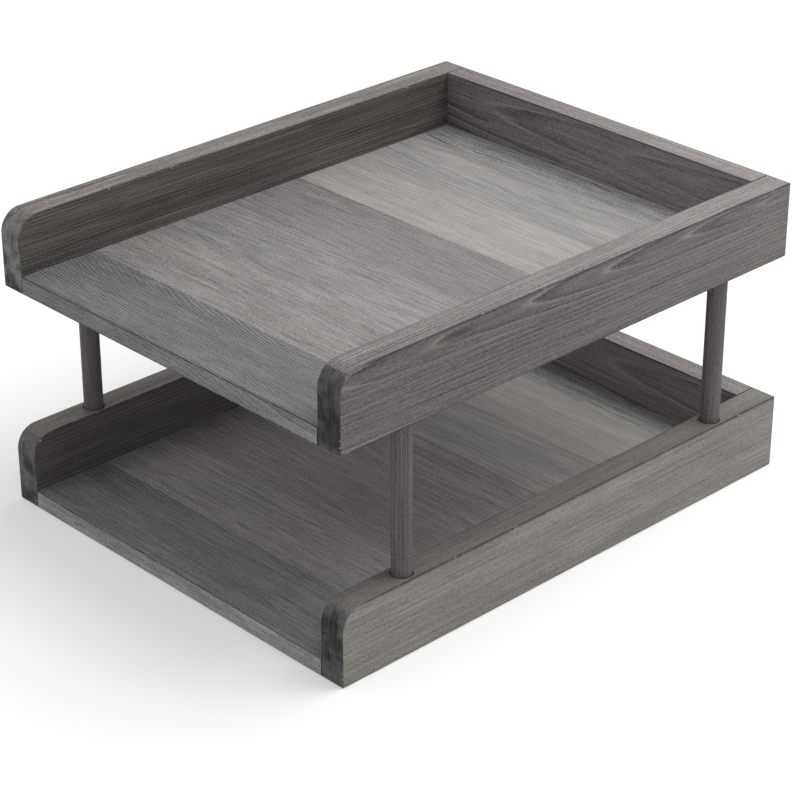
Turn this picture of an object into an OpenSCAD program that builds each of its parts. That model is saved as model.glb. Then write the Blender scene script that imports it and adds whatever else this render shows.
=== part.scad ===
// Wooden letter tray for a desk: two open-fronted trays, one above the other, on four round posts.
// Each tray is a floor of edge-glued staves between two side rails, closed by a back rail.
// Millimetres. The front faces -Y, +Z is up, and the origin is the middle of the underside.

/* [Trays] */
// Overall width, across the side rails
tray_w = 277; // [220:1:340]
// Overall depth, along the side rails
tray_d = 347; // [280:1:420]
// Height of the rails, from the tray's underside to their top edge
rail_h = 45.5; // [36:0.5:60]
// Thickness of each side rail
side_rail_t = 16.8; // [14:0.2:24]
// Thickness of the back rail
back_rail_t = 15.6; // [13:0.2:24]
// Radius of the rounded top corner at the front of each side rail
corner_r = 13; // [6:0.5:20]
// Radius that the rails' arrises are eased to
edge_r = 1; // [0.4:0.1:2]
// Height from the underside of the lower tray to the underside of the upper one
tier_pitch = 136; // [100:1:180]

/* [Floor] */
// Thickness of each floor
floor_t = 11; // [9:0.5:16]
// Number of staves in each floor
stave_count = 7; // [4:1:10]
// Width of the narrow stave that closes the floor against the back rail
back_stave_w = 22.4; // [12:0.2:40]
// Radius of the floor's soft top edge at the front
floor_nose_r = 2; // [0.5:0.5:4]

/* [Posts] */
// Diameter of each post
post_d = 11.5; // [8:0.1:14]
// Chamfer round each end of a post
post_chamfer = 0.8; // [0.2:0.1:2]
// Distance of the posts' axes from the front and from the back of the trays
post_inset = 50; // [30:1:80]
// Depth of the blind sockets that the posts seat in
socket_depth = 20; // [10:1:28]
// Radial clearance of a post in its socket
socket_gap = 0.3; // [0.2:0.05:0.6]

/* [Joint pins] */
// Diameter of the hidden wooden pins in the glued joints
pin_d = 6; // [4:0.5:7]
// Length of a pin
pin_l = 30; // [20:1:36]
// Length of a pin that lies in the rail, the rest being in the piece that butts against it
pin_in_rail = 10; // [8:0.5:12]
// Glue gap round a pin
pin_gap = 0.1; // [0.05:0.05:0.2]
// Space left past each end of a pin
pin_end_gap = 0.6; // [0.4:0.1:1]
// Number of pins from the floor's back edge into the back rail
back_pin_count = 4; // [2:1:5]
// Number of pins at each back corner, one above the other
corner_pin_count = 2; // [1:1:3]
// Wood left between a post's socket and the nearest pin
socket_wall = 4; // [2:0.5:6]

/* [Hidden] */
floor_w = tray_w - 2 * side_rail_t;
floor_d = tray_d - back_rail_t;
front_y = -tray_d / 2;
back_y = front_y + floor_d;
stave_w = (floor_d - back_stave_w) / (stave_count - 1);
post_x = (tray_w - side_rail_t) / 2;
post_y = tray_d / 2 - post_inset;
post_l = tier_pitch - rail_h + 2 * socket_depth;
socket_r = post_d / 2 + socket_gap;
pin_bore_r = pin_d / 2 + pin_gap;
pin_reach = pin_l - pin_in_rail;
$fn = 96;

TIERS = ["lower", "upper"];
// Each post's name, with its place to the right and to the back as signs
POSTS = [["post_front_left", -1, -1], ["post_front_right", 1, -1],
         ["post_back_left", -1, 1], ["post_back_right", 1, 1]];

STAIN = [0.36, 0.35, 0.35];
// Stain of each stave from the front to the back, repeated when there are more staves
STAVE_STAIN = [[0.36, 0.37, 0.38], [0.43, 0.42, 0.42], [0.40, 0.39, 0.39], [0.42, 0.41, 0.42],
               [0.50, 0.49, 0.47], [0.46, 0.46, 0.45], [0.33, 0.34, 0.35]];

function tier_z(tier) = tier == "upper" ? tier_pitch : 0;
function stave_y(i) = front_y + (i - 1) * stave_w;
function stave_depth(i) = i == stave_count ? back_stave_w : stave_w;

// A pin sits at the middle of its stave, moved along the rail where a post's socket needs the wood.
function clear_of(y, socket_y) =
  let (room = socket_r + pin_bore_r + socket_wall)
  abs(y - socket_y) >= room ? y : socket_y + (y < socket_y ? -room : room);
function pin_y(i) = clear_of(clear_of(stave_y(i) + stave_depth(i) / 2, -post_y), post_y);

// The waste outside a quarter round of radius r, at the origin
module corner_waste(r) {
  difference() {
    translate([-r, -r]) square(2 * r);
    translate([r, r]) circle(r);
  }
}

// A rectangle whose corners have the four radii, going round from the origin
module rounded_rect(w, h, radii) {
  difference() {
    square([w, h]);
    for (k = [0:3])
      if (radii[k] > 0)
        translate([k == 1 || k == 2 ? w : 0, k > 1 ? h : 0]) rotate(90 * k) corner_waste(radii[k]);
  }
}

// A pin as it lies in a joint: the joint's plane is z = 0 and the rail is on its +Z side
module pin() {
  translate([0, 0, -pin_reach]) cylinder(d = pin_d, h = pin_l);
}

module pin_bore() {
  translate([0, 0, -pin_reach - pin_end_gap]) cylinder(r = pin_bore_r, h = pin_l + 2 * pin_end_gap);
}

// Every pinned joint of a tray: floor to side rails, back rail to side rails, floor to back rail
module at_joints() {
  for (side = [-1, 1]) {
    for (i = [1:stave_count])
      translate([side * floor_w / 2, pin_y(i), floor_t / 2]) rotate([0, side * 90, 0]) children();
    for (k = [1:corner_pin_count])
      translate([side * floor_w / 2, back_y + back_rail_t / 2,
                 floor_t + (rail_h - floor_t) * k / (corner_pin_count + 1)])
        rotate([0, side * 90, 0]) children();
  }
  span = floor_w - 2 * (pin_l + pin_d);
  for (k = [0:back_pin_count - 1])
    translate([span * (k / (back_pin_count - 1) - 0.5), back_y, floor_t / 2])
      rotate([-90, 0, 0]) children();
}

// The sockets open upwards in the lower tray and downwards in the upper one.
module sockets(tier) {
  for (post = POSTS)
    translate([post[1] * post_x, post[2] * post_y, tier == "upper" ? 0 : rail_h - socket_depth])
      cylinder(r = socket_r, h = socket_depth);
}

// The right-hand rail, with eased arrises except where the floor and the back rail meet it
module side_rail_blank() {
  translate([floor_w / 2, front_y, 0]) intersection() {
    rotate([90, 0, 90]) linear_extrude(side_rail_t)
      rounded_rect(tray_d, rail_h, [edge_r, edge_r, edge_r, corner_r]);
    translate([0, tray_d, 0]) rotate([90, 0, 0]) linear_extrude(tray_d)
      rounded_rect(side_rail_t, rail_h, [0, edge_r, edge_r, edge_r]);
    linear_extrude(rail_h) rounded_rect(side_rail_t, tray_d, [edge_r, edge_r, edge_r, 0]);
  }
}

module side_rail(tier, side) {
  color(STAIN) translate([0, 0, tier_z(tier)]) difference() {
    mirror([side < 0 ? 1 : 0, 0, 0]) side_rail_blank();
    at_joints() pin_bore();
    sockets(tier);
  }
}

module back_rail(tier) {
  color(STAIN) translate([0, 0, tier_z(tier)]) difference() {
    translate([-floor_w / 2, back_y, 0]) rotate([90, 0, 90]) linear_extrude(floor_w)
      rounded_rect(back_rail_t, rail_h, [0, edge_r, edge_r, edge_r]);
    at_joints() pin_bore();
  }
}

module floor_stave(tier, i) {
  nose = i == 1 ? floor_nose_r : 0;
  color(STAVE_STAIN[(i - 1) % len(STAVE_STAIN)]) translate([0, 0, tier_z(tier)]) difference() {
    translate([-floor_w / 2, stave_y(i), 0]) rotate([90, 0, 90]) linear_extrude(floor_w)
      rounded_rect(stave_depth(i), floor_t, [nose / 2, 0, 0, nose]);
    at_joints() pin_bore();
  }
}

module joint_pins(tier) {
  color("tan") translate([0, 0, tier_z(tier)]) at_joints() pin();
}

// A post stands on the end of its lower socket and carries the upper tray on its top.
module post(side, end) {
  color(STAIN) translate([side * post_x, end * post_y, rail_h - socket_depth]) {
    cylinder(d1 = post_d - 2 * post_chamfer, d2 = post_d, h = post_chamfer);
    translate([0, 0, post_chamfer]) cylinder(d = post_d, h = post_l - 2 * post_chamfer);
    translate([0, 0, post_l - post_chamfer])
      cylinder(d1 = post_d, d2 = post_d - 2 * post_chamfer, h = post_chamfer);
  }
}

for (tier = TIERS) {
  side_rail(tier, -1);
  side_rail(tier, 1);
  back_rail(tier);
  for (i = [1:stave_count])
    floor_stave(tier, i);
  joint_pins(tier);
}
for (post = POSTS)
  post(post[1], post[2]);
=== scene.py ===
# %% [markdown]
# # A wooden letter tray in a grey stain
# Two open-fronted trays stand one above the other on four round posts. The frame holds every piece
# at its real size and place. This script gives each of them the surface of the real thing: boards
# with eased arrises, turned posts, drilled sockets, and a matt grey stain over real grain.

# %% Load the frame
import math
from itertools import combinations

import bmesh
import bpy
from mathutils import Matrix, Vector, noise


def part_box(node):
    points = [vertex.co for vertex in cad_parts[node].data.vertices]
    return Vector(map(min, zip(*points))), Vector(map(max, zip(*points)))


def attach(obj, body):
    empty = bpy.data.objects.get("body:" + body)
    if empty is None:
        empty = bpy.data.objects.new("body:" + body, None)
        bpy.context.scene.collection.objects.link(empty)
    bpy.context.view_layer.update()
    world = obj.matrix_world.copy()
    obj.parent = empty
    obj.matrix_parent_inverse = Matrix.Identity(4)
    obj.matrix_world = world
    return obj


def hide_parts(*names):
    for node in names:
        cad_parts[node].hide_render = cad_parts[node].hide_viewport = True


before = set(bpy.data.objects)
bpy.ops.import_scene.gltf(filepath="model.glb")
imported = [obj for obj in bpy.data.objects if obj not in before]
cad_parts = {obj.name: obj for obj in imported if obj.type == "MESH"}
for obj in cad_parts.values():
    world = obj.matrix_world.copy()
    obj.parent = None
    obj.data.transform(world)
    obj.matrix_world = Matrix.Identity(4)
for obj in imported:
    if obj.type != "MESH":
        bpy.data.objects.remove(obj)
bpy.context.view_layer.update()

TIERS = ("lower", "upper")
CORNERS = [f"{end}_{side}" for end in ("front", "back") for side in ("left", "right")]
MM = 0.001

# %% [markdown]
# ## Camera
# A product shot of a desk tray looks down into it from the front right corner. A long lens from a
# metre and a half away keeps the far posts nearly as tall as the near ones. The camera is placed by
# two angles and a distance round a point inside the tray, because those are easy to compare by eye.

# %% Camera
AIM = Vector((0.0, 0.0, 0.0535))
AZIMUTH, ELEVATION = math.radians(46.2), math.radians(27.5)
DISTANCE = 1.504
LENS_MM = 116.5

camera_data = bpy.data.cameras.new("camera")
camera_data.lens = LENS_MM
camera_data.clip_start = 0.05
camera = bpy.data.objects.new("camera", camera_data)
bpy.context.scene.collection.objects.link(camera)
towards_camera = Vector((math.sin(AZIMUTH) * math.cos(ELEVATION),
                         -math.cos(AZIMUTH) * math.cos(ELEVATION),
                         math.sin(ELEVATION)))
camera.location = AIM + DISTANCE * towards_camera
camera.rotation_euler = towards_camera.to_track_quat("Z", "Y").to_euler()
bpy.context.scene.camera = camera
bpy.context.scene.view_settings.view_transform = "Standard"
print("camera at", [round(c, 3) for c in camera.location])

# %% [markdown]
# ## Writing materials
# A stain is easier to read as arithmetic than as a web of nodes. A `Value` wraps one socket, and
# adding or multiplying values adds the Math nodes for it. A `Recipe` is one material, and its `add`
# makes any other node from its type, its settings and what feeds its sockets.

# %% A value and a recipe
class Value:
    """A number, colour or vector that varies over a surface."""

    def __init__(self, recipe, socket):
        self.recipe = recipe
        self.socket = socket

    def math(self, operation, *others):
        return self.recipe.math(operation, self, *others)

    def __add__(self, other):
        return self.math("ADD", other)

    def __sub__(self, other):
        return self.math("SUBTRACT", other)

    def __rsub__(self, other):
        return self.recipe.math("SUBTRACT", other, self)

    def __mul__(self, other):
        return self.math("MULTIPLY", other)

    def __truediv__(self, other):
        return self.math("DIVIDE", other)

    def __pow__(self, other):
        return self.math("POWER", other)

    __radd__ = __add__
    __rmul__ = __mul__


class Recipe:
    """A material that is written one node at a time."""

    def __init__(self, name):
        self.material = bpy.data.materials.new(name)
        self.material.use_nodes = True
        self.nodes = self.material.node_tree.nodes
        self.links = self.material.node_tree.links
        self.nodes.clear()

    def add(self, kind, settings=None, inputs=None, output=0):
        node = self.nodes.new(kind)
        for name, setting in (settings or {}).items():
            setattr(node, name, setting)
        for name, given in (inputs or {}).items():
            if isinstance(given, Value):
                self.links.new(given.socket, node.inputs[name])
            else:
                node.inputs[name].default_value = given
        return None if output is None else Value(self, node.outputs[output])

    def math(self, operation, *terms):
        return self.add("ShaderNodeMath", {"operation": operation}, dict(enumerate(terms)))

    def mix(self, share, first, second):
        """The first colour, turning into the second as share goes from 0 to 1."""
        return self.add("ShaderNodeMix", {"data_type": "RGBA"}, {0: share, 6: first, 7: second}, 2)

    def ramp(self, value, low, high):
        """0 up to low, 1 from high on, and smooth between them."""
        return self.add("ShaderNodeMapRange", {"interpolation_type": "SMOOTHSTEP"},
                        {"Value": value, "From Min": low, "From Max": high})

    def split(self, vector):
        apart = self.add("ShaderNodeSeparateXYZ", inputs={0: vector})
        return [Value(self, socket) for socket in apart.socket.node.outputs]

    def finish(self, surface):
        self.add("ShaderNodeOutputMaterial", inputs={"Surface": surface}, output=None)
        return self.material


# %% [markdown]
# ## Light, floor and background
# The tray is matt, so its light only has to be soft and even: a plain white sky, with one large
# lamp above and to the right to tell the faces apart. The floor is a white sheet that keeps the
# tray's shadow. Seen by the camera it is lifted a little, so that it runs out into pure white.

# %% Studio
SKY_LIGHT = 0.62
KEY_WATTS = 14.5
KEY_PLACE, KEY_SIZE = Vector((0.4, 0.65, 1.4)), 1.1
SHEET_WHITE, SHEET_LIFT, SHEET_FAR_LIFT = 0.82, 0.29, 0.25
SHEET_HALF, SHEET_DROP = 60.0, 0.1 * MM

sky = bpy.data.worlds.new("studio sky")
sky.use_nodes = True
bpy.context.scene.world = sky
tree = sky.node_tree
seen = tree.nodes.new("ShaderNodeLightPath")
either = tree.nodes.new("ShaderNodeMath")
either.operation = "MAXIMUM"
tree.links.new(seen.outputs["Is Camera Ray"], either.inputs[0])
tree.links.new(seen.outputs["Is Glossy Ray"], either.inputs[1])
strength = tree.nodes.new("ShaderNodeMapRange")
tree.links.new(either.outputs[0], strength.inputs["Value"])
strength.inputs["To Min"].default_value = SKY_LIGHT
strength.inputs["To Max"].default_value = 1.0
background = tree.nodes["Background"]
background.inputs["Color"].default_value = (1, 1, 1, 1)
tree.links.new(strength.outputs["Result"], background.inputs["Strength"])

key_data = bpy.data.lights.new("key", "AREA")
key_data.size, key_data.energy = KEY_SIZE, KEY_WATTS
key = bpy.data.objects.new("key", key_data)
bpy.context.scene.collection.objects.link(key)
key.location = KEY_PLACE
key.rotation_euler = (KEY_PLACE - AIM).to_track_quat("Z", "Y").to_euler()

sheet_mesh = bpy.data.meshes.new("sheet")
bm = bmesh.new()
bmesh.ops.create_grid(bm, x_segments=1, y_segments=1, size=SHEET_HALF,
                      matrix=Matrix.Translation((0, 0, -SHEET_DROP)))
bm.to_mesh(sheet_mesh)
bm.free()
sheet = bpy.data.objects.new("sheet", sheet_mesh)
bpy.context.scene.collection.objects.link(sheet)
sheet_recipe = Recipe("white sheet")
matt = sheet_recipe.add("ShaderNodeBsdfDiffuse", inputs={"Color": (SHEET_WHITE,) * 3 + (1,)})
to_camera = sheet_recipe.add("ShaderNodeLightPath")
across = sheet_recipe.split(sheet_recipe.add("ShaderNodeTexCoord", output="Object"))
away = (across[0] * across[0] + across[1] * across[1]).math("SQRT")
raised = SHEET_LIFT + sheet_recipe.ramp(away, 0.4, 2.4) * SHEET_FAR_LIFT
lift = sheet_recipe.add("ShaderNodeEmission", inputs={"Strength": to_camera * raised})
sheet_mesh.materials.append(sheet_recipe.finish(
    sheet_recipe.add("ShaderNodeAddShader", inputs={0: matt, 1: lift})))
print("sky", SKY_LIGHT, "key", KEY_WATTS, "W")

# %% [markdown]
# ## Boards
# Every flat piece of the tray is a sawn and planed board with its arrises taken off by hand. An
# edge that is touched is eased by about a millimetre. An edge in a glued joint is left almost
# sharp, which leaves the hairline that shows where two boards meet. A board starts as a cube of the
# node's own size, is bevelled, and is then cut across every few millimetres, so that its eased
# edges can waver a little, as sanded ones do.

# %% A board
EASED, GLUED = 0.9 * MM, 0.16 * MM
WAVER = 0.05 * MM
CUT_EVERY = 6 * MM
ROUND_STEPS = 14


def sharp_edges(bm, wanted):
    """The edges between faces that turn sharply, if their middle, as signs, is wanted."""
    found = []
    for edge in bm.edges:
        if edge.calc_face_angle(0) > math.radians(30) and wanted(edge):
            found.append(edge)
    return found


def to_object(name, bm):
    mesh = bpy.data.meshes.new(name)
    bm.normal_update()
    for face in bm.faces:
        face.smooth = max(abs(n) for n in face.normal) < 0.999
    bm.to_mesh(mesh)
    bm.free()
    piece = bpy.data.objects.new(name, mesh)
    bpy.context.scene.collection.objects.link(piece)
    return piece


def board(name, node, glued, round_front=0.0, nose=0.0):
    """A board that fills the node's box. glued says which edges, by side, are in a joint."""
    low, high = (Vector(corner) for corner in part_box(node))
    size, middle = high - low, (low + high) / 2
    bm = bmesh.new()
    bmesh.ops.create_cube(bm, size=1)
    bmesh.ops.transform(bm, matrix=Matrix.Translation(middle) @ Matrix.Diagonal(size).to_4x4(),
                        verts=bm.verts)

    def side(edge):
        """Where an edge's middle lies on the board: -1, 0 or 1 along X, Y and Z."""
        centre = (edge.verts[0].co + edge.verts[1].co) / 2
        return [round(2 * (centre[k] - middle[k]) / size[k]) for k in range(3)]

    if round_front:
        corner = [e for e in bm.edges if side(e)[1:] == [-1, 1]]
        bmesh.ops.bevel(bm, geom=corner, offset=round_front, offset_type="OFFSET", affect="EDGES",
                        segments=ROUND_STEPS, profile=0.5, material=-1)
    if nose:
        corner = [e for e in bm.edges if side(e)[1:] == [-1, 1]]
        bmesh.ops.bevel(bm, geom=corner, offset=nose, offset_type="OFFSET", affect="EDGES",
                        segments=5, profile=0.5, material=-1)
    touched = sharp_edges(bm, lambda e: not glued(*side(e)))
    bmesh.ops.bevel(bm, geom=touched, offset=EASED, offset_type="OFFSET", affect="EDGES",
                    segments=3, profile=0.5, material=-1)
    jointed = sharp_edges(bm, lambda e: glued(*side(e)))
    bmesh.ops.bevel(bm, geom=jointed, offset=GLUED, offset_type="OFFSET", affect="EDGES",
                    segments=1, profile=0.5, material=-1)

    along = max(range(3), key=lambda k: size[k])
    normal = Vector([float(k == along) for k in range(3)])
    cuts = round(size[along] / CUT_EVERY)
    for k in range(1, cuts):
        at = low + size * (k / cuts)
        bmesh.ops.bisect_plane(bm, geom=bm.verts[:] + bm.edges[:] + bm.faces[:], dist=1e-6,
                               plane_co=at, plane_no=normal)
    bm.normal_update()
    for vert in bm.verts:
        if all(f.calc_area() > 0 and max(abs(n) for n in f.normal) > 0.999 for f in vert.link_faces):
            continue
        if glued(*[round(2 * (vert.co[k] - middle[k]) / size[k]) for k in range(3)]):
            continue
        worn = noise.noise(vert.co * 45) + 0.6 * noise.noise(vert.co * 160)
        vert.co -= vert.normal * WAVER * max(0.0, 0.4 + worn)
    return to_object(name, bm)

# %% [markdown]
# ## Sockets
# The posts stand in blind holes in the rails. Drilling is a boolean: a cylinder with the drill's
# own width takes the wood away. The drill is a little wider than the post, so a dark crescent shows
# round the foot of each post, and its mouth is broken by a short countersink. The result is applied
# at once, so that the finished rail holds its own holes and no live modifier.

# %% Drilling a rail
SOCKET_PLAY = 0.3 * MM
MOUTH = 0.5 * MM
PAST = 2 * MM


def bite(rail, cutter_bm):
    """Takes the cutter's shape out of a rail."""
    cutter_mesh = bpy.data.meshes.new("cutter")
    cutter_bm.to_mesh(cutter_mesh)
    cutter_bm.free()
    cutter = bpy.data.objects.new("cutter", cutter_mesh)
    bpy.context.scene.collection.objects.link(cutter)
    cut = rail.modifiers.new("cut", "BOOLEAN")
    cut.operation, cut.solver, cut.object = "DIFFERENCE", "EXACT", cutter
    drilled = bpy.data.meshes.new_from_object(
        rail.evaluated_get(bpy.context.evaluated_depsgraph_get()))
    rail.modifiers.clear()
    old, rail.data = rail.data, drilled
    bpy.data.objects.remove(cutter)
    bpy.data.meshes.remove(cutter_mesh)
    bpy.data.meshes.remove(old)
    drilled.name = rail.name


def drill(rail, mouth, depth, radius, way):
    """Drills a blind hole from the middle of its mouth. way is -1 for downwards, 1 for upwards."""
    hole = bmesh.new()
    reach = Vector((0, 0, way * (depth - PAST) / 2))
    bmesh.ops.create_cone(hole, cap_ends=True, segments=64, radius1=radius, radius2=radius,
                          depth=depth + PAST, matrix=Matrix.Translation(mouth + reach))
    bite(rail, hole)
    flare = bmesh.new()
    tip = Matrix.Translation(mouth - Vector((0, 0, way * (PAST - MOUTH) / 2)))
    ends = [radius + MOUTH + PAST, radius]
    lower, upper = ends if way > 0 else reversed(ends)
    bmesh.ops.create_cone(flare, cap_ends=True, segments=64, radius1=lower, radius2=upper,
                          depth=PAST + MOUTH, matrix=tip)
    bite(rail, flare)


# %% [markdown]
# ## The two trays
# Side rails run the whole depth, with their top front corner rounded off. The back rail is butted
# between them, and the floor is made of seven staves glued edge to edge, with the grain running
# from side to side. The same few lines build both trays, since they only differ in their height
# and in which way their sockets open.

# %% Rails and floors
CORNER_ROUND = 13 * MM
FLOOR_NOSE = 1.8 * MM
made = {}


def keep(piece, node, body):
    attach(piece, body)
    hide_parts(node)
    made[node] = piece


for tier in TIERS:
    for side, hand in (("left", -1), ("right", 1)):
        node = f"{tier}_{side}_rail"

        def in_joint(x, y, z, hand=hand):
            return x == -hand and (z == -1 or y == 1)

        rail = board(f"{tier}_{side}_rail_board", node, in_joint, round_front=CORNER_ROUND)
        for end in ("front", "back"):
            low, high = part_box(f"post_{end}_{side}")
            centre = (low + high) / 2
            rail_low, rail_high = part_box(node)
            mouth_z = rail_high.z if tier == "lower" else rail_low.z
            depth = abs(mouth_z - (low.z if tier == "lower" else high.z))
            drill(rail, Vector((centre.x, centre.y, mouth_z)), depth,
                  (high.y - low.y) / 2 + SOCKET_PLAY, -1 if tier == "lower" else 1)
        keep(rail, node, f"{tier}_tray")

    node = f"{tier}_back_rail"
    keep(board(f"{tier}_back_rail_board", node, lambda x, y, z: x != 0 or (y == -1 and z == -1)),
         node, f"{tier}_tray")

    staves = sorted(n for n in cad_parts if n.startswith(f"{tier}_floor_stave_"))
    for number, node in enumerate(staves, 1):
        first = number == 1
        stave = board(f"{tier}_floor_board_{number}", node,
                      lambda x, y, z, first=first: not (first and y == -1 and x == 0),
                      nose=FLOOR_NOSE if first else 0.0)
        keep(stave, node, f"{tier}_tray")
print("boards:", len(made), "faces:", sum(len(p.data.polygons) for p in made.values()))

# %% [markdown]
# ## Posts
# A post is a dowel: a long round rod with its ends chamfered so that it finds its socket. Bought
# dowel is milled, never quite round, so each ring along it is drawn in by a few hundredths.

# %% Posts
POST_CHAMFER = 0.8 * MM
OUT_OF_ROUND = 0.05 * MM

for corner in CORNERS:
    node = f"post_{corner}"
    low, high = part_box(node)
    radius, length = (high.y - low.y) / 2, high.z - low.z
    centre = Vector(((low.x + high.x) / 2, (low.y + high.y) / 2, (low.z + high.z) / 2))
    bm = bmesh.new()
    bmesh.ops.create_cone(bm, cap_ends=True, segments=72, radius1=radius, radius2=radius,
                          depth=length, matrix=Matrix.Translation(centre))
    rims = sharp_edges(bm, lambda e: True)
    bmesh.ops.bevel(bm, geom=rims, offset=POST_CHAMFER, offset_type="OFFSET", affect="EDGES",
                    segments=1, profile=0.5, material=-1)
    for k in range(1, 22):
        bmesh.ops.bisect_plane(bm, geom=bm.verts[:] + bm.edges[:] + bm.faces[:], dist=1e-6,
                               plane_co=low + Vector((0, 0, length * k / 22)), plane_no=(0, 0, 1))
    for vert in bm.verts:
        out = vert.co - centre
        out.z = 0
        lean = noise.noise(Vector((out.x * 150, out.y * 150, vert.co.z * 25 + centre.x * 9)))
        vert.co -= out.normalized() * OUT_OF_ROUND * (0.5 + 0.5 * lean)
    keep(to_object(f"{corner}_post_dowel", bm), node, f"{corner}_post")
print("posts:", len(CORNERS))

# %% [markdown]
# ## Stained wood
# All of the tray is one kind of wood under one grey stain, yet no two boards look alike. That comes
# from the tree: a board is cut out of a log, and its figure is where the growth rings meet its
# faces. So the colour is worked out in the solid. Every board gets the place of the log's heart, the
# width of its rings and its own tone, and the same sum then draws straight grain on one face, a
# flame on another and arcs on the ends. Fine fibres, pores, cloudy stain, dark end grain and pale
# rubbed arrises are laid over it. Light and shade are painted into the colour too: faces are made
# lighter or darker by how the light falls on them, boards grow lighter towards one end, the arrises
# carry a dark line that is partly dirt and partly painted shade, and the rounded front corners get a
# painted highlight. All lengths in the recipe are millimetres.

# %% The wood recipe
PALE_WOOD = (0.42, 0.39, 0.34, 1.0)
INK = (0.018, 0.018, 0.020, 1.0)
AXES = {"x": 0, "y": 1, "z": 2}


class Wood(Recipe):
    """Grey-stained wood for one piece, with its grain along one axis."""

    def __init__(self, name, node, grain, across, seed):
        super().__init__(name)
        self.low, self.high = ([c / MM for c in corner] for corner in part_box(node))
        middle = [(a + b) / 2 for a, b in zip(self.low, self.high)]
        coordinates = self.add("ShaderNodeTexCoord", output="Object")
        self.place = self.split(self.add("ShaderNodeVectorMath", {"operation": "SCALE"},
                                         {0: coordinates, "Scale": 1 / MM}))
        facing = self.split(Value(self, coordinates.socket.node.outputs["Normal"]))
        self.facing = dict(zip("xyz", facing))
        order = [AXES[grain], AXES[across], 3 - AXES[grain] - AXES[across]]
        self.along, self.across, self.deep = (self.place[k] - middle[k] for k in order)
        self.grain_axis = grain
        self.seed = seed

    def fibre(self, width, stretch, detail=2.0, shift=0.0):
        """Cloudy noise from 0 to 1, its spots width across and drawn out along the grain."""
        spot = self.add("ShaderNodeCombineXYZ", inputs={
            0: self.along / (width * stretch) + (self.seed * 7.31 + shift),
            1: self.across / width, 2: self.deep / width + self.seed * 3.7})
        return self.add("ShaderNodeTexNoise", inputs={"Vector": spot, "Scale": 1.0,
                                                      "Detail": detail, "Roughness": 0.55})

    def spots(self, size, detail, shift):
        """Cloudy noise from 0 to 1 that is as wide as it is long."""
        place = self.add("ShaderNodeCombineXYZ", inputs={
            0: self.along / size + (self.seed * 5.9 + shift), 1: self.across / size,
            2: self.deep / size})
        return self.add("ShaderNodeTexNoise", inputs={"Vector": place, "Scale": 1.0,
                                                      "Detail": detail, "Roughness": 0.6})

    def strokes(self, width, length):
        """Noise drawn out across the grain and up the board, as the saw leaves it on a cut end."""
        place = self.add("ShaderNodeCombineXYZ", inputs={
            0: self.along / length, 1: self.across / length, 2: self.deep / width + self.seed})
        return self.add("ShaderNodeTexNoise", inputs={"Vector": place, "Scale": 1.0, "Detail": 2.0})

    def tint(self, colour, factor):
        """A colour made lighter or darker."""
        return self.add("ShaderNodeVectorMath", {"operation": "SCALE"},
                        {0: colour, "Scale": factor})

    def face(self, axis, sign=0):
        """1 on the faces that look that way, 0 elsewhere. With no sign, both ways."""
        turned = self.facing[axis] * sign if sign else self.facing[axis].math("ABSOLUTE")
        return self.ramp(turned, 0.55, 0.85)

    def lines(self, width, stretch, low, high, shift):
        """Thin streaks along the grain: 1 on a streak and 0 beside it."""
        return self.ramp(self.fibre(width, stretch, 2.0, shift), low, high)

    def rings(self, heart, spacing, lean, wander, wave, curl):
        """How far through its year's growth a point is, 0 to 1, and how squarely the rings meet
        the board's wide face there, in a log whose heart is off the board."""
        drift = self.fibre(46, 3.2, 1.0, 11.0) - 0.5
        ripple = self.fibre(5, curl, 2.0, 23.0) - 0.5
        sideways = self.across - heart[0] + drift * wander + ripple * wave
        inwards = self.deep - heart[1] + self.along * lean + drift * (wander * 0.5)
        distance = (sideways * sideways + inwards * inwards).math("SQRT")
        return (distance / spacing).math("FRACT"), sideways.math("ABSOLUTE") / distance

    def sides(self, rounded):
        """How deep a point lies under each side of the board; the front and the top are one side."""
        under = {}
        for k, axis in enumerate("xyz"):
            under[axis + "-"] = self.place[k] - self.low[k]
            under[axis + "+"] = self.high[k] - self.place[k]
        if rounded:
            before = (self.low[1] + rounded - self.place[1]).math("MAXIMUM", 0.0)
            above = (self.place[2] - (self.high[2] - rounded)).math("MAXIMUM", 0.0)
            under["front_top"] = rounded - (before * before + above * above).math("SQRT")
            del under["y-"], under["z+"]
        return under

    def arris(self, touched, rounded=0.0):
        """The distance to the nearest edge between two touched sides."""
        under = self.sides(rounded)
        nearest = None
        for one, other in combinations([s for s in touched if s in under], 2):
            if one[0] == other[0] and one[-1] in "+-" and other[-1] in "+-":
                continue
            edge = under[one].math("MAXIMUM", under[other])
            nearest = edge if nearest is None else nearest.math("MINIMUM", edge)
        return nearest


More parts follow.
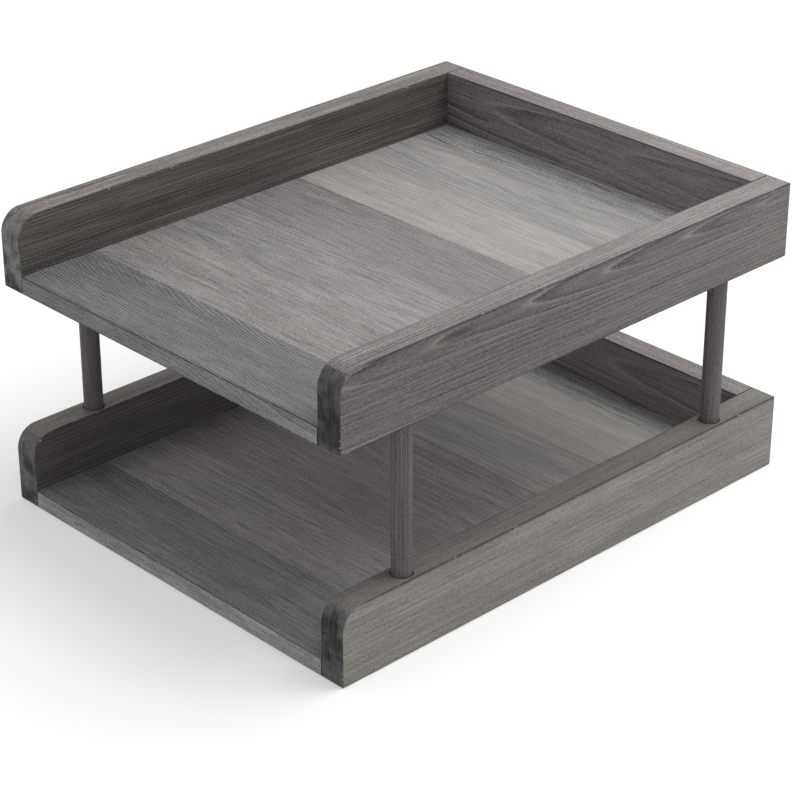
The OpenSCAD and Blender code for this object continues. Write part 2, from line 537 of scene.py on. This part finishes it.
def stain(node, grain, across, seed, tone, cloud=None, cloudiness=0.5, heart=(0, 60), spacing=2.4,
          lean=0.0, wander=6.0, wave=1.4, curl=16, ring=0.25, fibre=1.0, length=70, band=0.2,
          painted_light_slope=0.0, end=(0.07, 0.07, 0.072), faces=None, plain=None, soften=0.0, touched=(),
          rounded=0.0, dirt_and_shade_amount=0.7):
    """Finishes the piece that stands for a node in stained wood."""
    wood = Wood(f"{node}_stain", node, grain, across, seed)
    fine = wood.fibre(0.75, length, 2.0) - 0.5
    streak = wood.fibre(2.2, length, 3.0, 5.0) - 0.5
    wide = wood.fibre(10, 12, 2.0, 9.0) - 0.5
    blotch = wood.fibre(24, 2.6, 3.0, 17.0)
    speck = wood.fibre(0.7, 2.2, 3.0, 31.0) - 0.5
    year, square = wood.rings(heart, spacing, lean, wander, wave, curl)
    year = year + fine * 0.2
    late = wood.ramp(year, 0.52, 0.86) * (1.0 - wood.ramp(year, 0.90, 0.98))
    early = 1.0 - wood.ramp(year, 0.0, 0.22)
    vivid = (0.35 + wood.ramp(wood.fibre(7, 22, 1.0, 97.0), 0.36, 0.64) * 1.3) * ring
    if soften:
        vivid = vivid * (1.0 - soften * (1.0 - square))
    if plain:
        vivid = vivid * (1.0 - 0.75 * wood.face(plain[0], 1 if plain[1] == "+" else -1))

    # The term along the board paints light and shade: the tone grows steadily lighter or darker along the
    # board, as light falls across it.
    shade = (1.0 + (fine * 1.0 + streak * 0.6 + speck * 1.5) * fibre + wide * (2 * band)
             + wood.along * painted_light_slope + (early * 0.35 - late) * vivid)
    second = cloud or tuple(0.8 * c for c in tone)
    stained = wood.mix(wood.ramp(blotch, 0.38, 0.66) * cloudiness, tone + (1.0,), second + (1.0,))
    lit = wood.tint(stained, shade)
    lit = wood.mix(early * vivid, lit, PALE_WOOD)
    pores = wood.lines(1.0, 14, 0.60, 0.70, 41.0)
    lit = wood.mix(pores * (0.22 * fibre), lit, INK)
    flecks = wood.lines(0.9, 1.2 * length, 0.61, 0.69, 53.0)
    lit = wood.mix(flecks * (0.2 * fibre), lit, PALE_WOOD)

    # The face factors paint light and shade: a face the light falls on more, such as a top or a front
    # edge, is made lighter, and one in shade is made darker.
    for side, factor in (faces or {}).items():
        sign = {"+": 1, "-": -1}.get(side[1:], 0)
        lit = wood.tint(lit, 1.0 + wood.face(side[0], sign) * (factor - 1.0))

    turned = wood.facing[grain].math("ABSOLUTE") + speck * 0.8 + streak * 0.5
    cloudy = wood.spots(13.0, 2.0, 71.0)
    sawn = wood.strokes(0.9, 9.0) - 0.5
    soaked = 0.4 + wood.ramp(cloudy, 0.36, 0.66) * 1.3 + speck * 1.5 + sawn * 1.9 - late * 0.12
    lit = wood.mix(wood.ramp(turned, 0.5, 0.66), lit, wood.tint(end, soaked))

    if touched:
        edge = wood.arris(touched, rounded)
        # A dark line along the eased arrises: partly dirt, partly painted shade that tones down the light
        # the rounded edges catch.
        arris_line_patches = wood.fibre(5, 3.0, 3.0, 61.0)
        arris_dirt_and_painted_shade = (1.0 - wood.ramp(edge, 0.5, 1.2)) * (0.5 + arris_line_patches * 1.1)
        nicks_and_painted_highlight = wood.spots(3.0, 3.0, 83.0)
        # Towards the rounded front corner the dark line thins and more pale chips show: a painted
        # highlight for the light that rounded arris catches.
        if rounded:
            past_painted_highlight = wood.ramp(wood.place[1] - wood.low[1], 0.6 * rounded, 1.6 * rounded)
            arris_dirt_and_painted_shade = arris_dirt_and_painted_shade * (0.3 + 0.7 * past_painted_highlight)
            nicks_and_painted_highlight = nicks_and_painted_highlight + (1.0 - past_painted_highlight) * 0.05
        lit = wood.mix(arris_dirt_and_painted_shade * dirt_and_shade_amount, lit, INK)
        # Pale rubbed chips along the arrises are wear; near the rounded front corner they are also a
        # painted highlight.
        chips_and_painted_highlight = (1.0 - wood.ramp(edge, 0.5, 1.4)) * wood.ramp(nicks_and_painted_highlight, 0.65, 0.71)
        lit = wood.mix(chips_and_painted_highlight * 0.55, lit, PALE_WOOD)

    height = fine * 0.9 + streak * 0.8 + speck * 0.5 - late * 0.4 - pores * 0.5
    bump = wood.add("ShaderNodeBump", inputs={"Height": height, "Strength": 0.6,
                                              "Distance": 0.00025})
    surface = wood.add("ShaderNodeBsdfPrincipled", inputs={
        "Base Color": lit, "Roughness": 0.64 + fine * 0.3, "Normal": bump,
        "Specular IOR Level": 0.3})
    made[node].data.materials.clear()
    made[node].data.materials.append(wood.finish(surface))


# %% [markdown]
# ## Choosing the boards
# The staves were picked from mixed stock, so the floor runs from blue-grey at the front through
# pinkish greys to one pale stave and a narrow one at the back that looks dark in the back rail's
# shade; its tone is written paler, as painted light against part of that shade. The lower tray's
# staves are written lighter too, as painted light against the shade of the upper tray. The front
# ends of the rails drank the most stain and are nearly black.

# %% Floor staves
STAVES = {
    1: dict(tone=(0.166, 0.166, 0.163), cloud=(0.112, 0.114, 0.115), heart=(38, 34), spacing=1.3,
            lean=0.15, wander=8, wave=1.2, curl=7, ring=0.72, fibre=1.2),
    2: dict(tone=(0.272, 0.256, 0.249), cloud=(0.225, 0.213, 0.209), heart=(-40, 34), spacing=1.3,
            lean=0.15, wander=8, wave=1.2, curl=7, ring=0.46, fibre=1.3),
    3: dict(tone=(0.258, 0.242, 0.236), cloud=(0.222, 0.221, 0.219), heart=(-12, 38), spacing=2.4,
            lean=0.05, wander=9, ring=0.18, fibre=1.15),
    4: dict(tone=(0.24, 0.225, 0.221), cloud=(0.184, 0.172, 0.17), heart=(46, 30), spacing=2.2,
            wander=12, ring=0.18, fibre=1.1),
    5: dict(tone=(0.352, 0.334, 0.315), cloud=(0.32, 0.305, 0.292), heart=(70, 70), spacing=2.8,
            wander=10, ring=0.06, fibre=0.7),
    6: dict(tone=(0.325, 0.312, 0.297), cloud=(0.235, 0.244, 0.248), heart=(8, 26), spacing=3.0,
            lean=0.05, ring=0.18, fibre=0.7),
    # Stave 7 is written paler than it looks: painted light against the shade the back rail casts on it.
    7: dict(tone=(0.34, 0.34, 0.336), cloud=(0.25, 0.255, 0.26), heart=(30, 18), spacing=2.0,
            lean=0.04, wander=18, ring=0.6, fibre=1.3),
    8: dict(tone=(0.186, 0.185, 0.18), cloud=(0.13, 0.131, 0.131), heart=(80, 40), spacing=1.5,
            lean=0.04, wander=12, ring=0.36, fibre=1.3),
}
STOCK = {"upper": (1, 2, 3, 4, 5, 6, 7), "lower": (8, 3, 4, 2, 6, 5, 7)}
# Painted light on every stave: the front edge is made 1.35 times lighter, and the tone grows lighter to
# the right, as painted shade near the left rail.
SIDE_TO_SIDE = dict(length=24, wave=2.6, curl=3.5, painted_light_slope=0.0009, end=(0.09, 0.09, 0.09),
                    faces={"y-": 1.35}, plain="y-", soften=0.8)
# The lower tray's staves are made 1.3 times lighter: painted light that makes up for the shade the upper
# tray casts on them.
LOWER_TRAY_PAINTED_LIGHT = 1.3

for tier in TIERS:
    # depth is that painted light for each tier.
    depth = 1.0 if tier == "upper" else LOWER_TRAY_PAINTED_LIGHT
    for number, pick in enumerate(STOCK[tier], 1):
        look = SIDE_TO_SIDE | STAVES[pick]
        for colour in ("tone", "cloud"):
            look[colour] = tuple(depth * c for c in look[colour])
        touched = ("y-", "z+", "z-") if number == 1 else ()
        stain(f"{tier}_floor_stave_{number}", "x", "y", 10 * number + (tier == "lower") * 3.3,
              touched=touched, **look)
print("staves finished:", sum(len(picks) for picks in STOCK.values()))

# %% Rails
RAIL_SIDES = ("front_top", "x-", "x+", "z-", "y+")
# Painted light on the upper right rail: its top is made 1.33 times lighter and it grows lighter towards
# the back.
stain("upper_right_rail", "y", "z", 101, (0.158, 0.145, 0.14), (0.178, 0.164, 0.159),
      heart=(17.2, 18.8), spacing=2.4, lean=0.037, wander=1.5, ring=0.22, fibre=1.1,
      faces={"z+": 1.33}, painted_light_slope=0.0008, end=(0.056, 0.056, 0.057), touched=RAIL_SIDES, rounded=13.0)
# Painted shadow on the lower right rail: its top, under the upper tray, is made darker, and the rail
# grows a little lighter towards the back.
stain("lower_right_rail", "y", "z", 102, (0.262, 0.248, 0.226), (0.222, 0.21, 0.193),
      heart=(60, 60), spacing=2.6, ring=0.09, fibre=0.85, faces={"z+": 0.71}, painted_light_slope=0.0002,
      end=(0.068, 0.067, 0.068), touched=RAIL_SIDES, rounded=13.0)
# The left rails are dark partly by stain and partly as painted shade on their inner faces; their tops and
# outer faces are made lighter again as painted light, and the upper one grows lighter towards the back.
stain("upper_left_rail", "y", "z", 103, (0.092, 0.084, 0.077), (0.07, 0.063, 0.058),
      heart=(-40, 20), spacing=2.2, ring=0.19, fibre=1.4, band=0.6, faces={"z+": 1.9, "x-": 1.7},
      plain="z+", painted_light_slope=0.0003,
      end=(0.128, 0.126, 0.125), touched=RAIL_SIDES, rounded=13.0)
stain("lower_left_rail", "y", "z", 104, (0.10, 0.092, 0.084), (0.08, 0.073, 0.066),
      heart=(-30, 26), spacing=2.4, ring=0.19, band=0.55, faces={"z+": 2.1, "x-": 1.7}, plain="z+",
      end=(0.085, 0.084, 0.082), touched=RAIL_SIDES, rounded=13.0)
BACK_SIDES = ("y-", "y+", "z-", "z+")
# Painted light on the back rails: the top is made a little lighter and the rail grows lighter towards the
# right.
for tier, seed in (("upper", 105), ("lower", 106)):
    stain(f"{tier}_back_rail", "x", "z", seed, (0.21, 0.193, 0.188), (0.17, 0.157, 0.153),
          heart=(10, 24), spacing=2.4, lean=0.02, ring=0.2, fibre=1.1, painted_light_slope=0.0016,
          faces={"z+": 1.12}, touched=BACK_SIDES)
print("rails finished")

# %% Posts
for seed, corner in enumerate(CORNERS, 201):
    stain(f"post_{corner}", "z", "x", seed, (0.122, 0.112, 0.107), (0.096, 0.088, 0.084),
          heart=(20, 12), spacing=2.2, ring=0.08)
print("posts finished")

# %% [markdown]
# ## Joint pins
# The pins lie inside the glued joints and never see the stain. They keep the frame's own shape and
# get plain pale wood, which shows only if a board is taken off.

# %% Joint pins
for tier in TIERS:
    node = f"{tier}_joint_pins"
    bare = Wood(f"{node}_wood", node, "x", "y", 301)
    grain = bare.fibre(0.5, 40, 2.0)
    colour = bare.mix(grain, (0.50, 0.36, 0.20, 1.0), (0.66, 0.50, 0.31, 1.0))
    bump = bare.add("ShaderNodeBump", inputs={"Height": grain, "Strength": 0.3, "Distance": 0.0001})
    bare_surface = bare.add("ShaderNodeBsdfPrincipled", inputs={
        "Base Color": colour, "Roughness": 0.6 + grain * 0.1, "Normal": bump})
    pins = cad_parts[node]
    pins.material_slots[0].material = bare.finish(bare_surface)
print("pins finished")

# %% [markdown]
# ## Finishing
# The finished tray has to stay inside the frame's own box. At the end the view layer is brought up to
# date.

# %% Finish
bpy.context.view_layer.update()
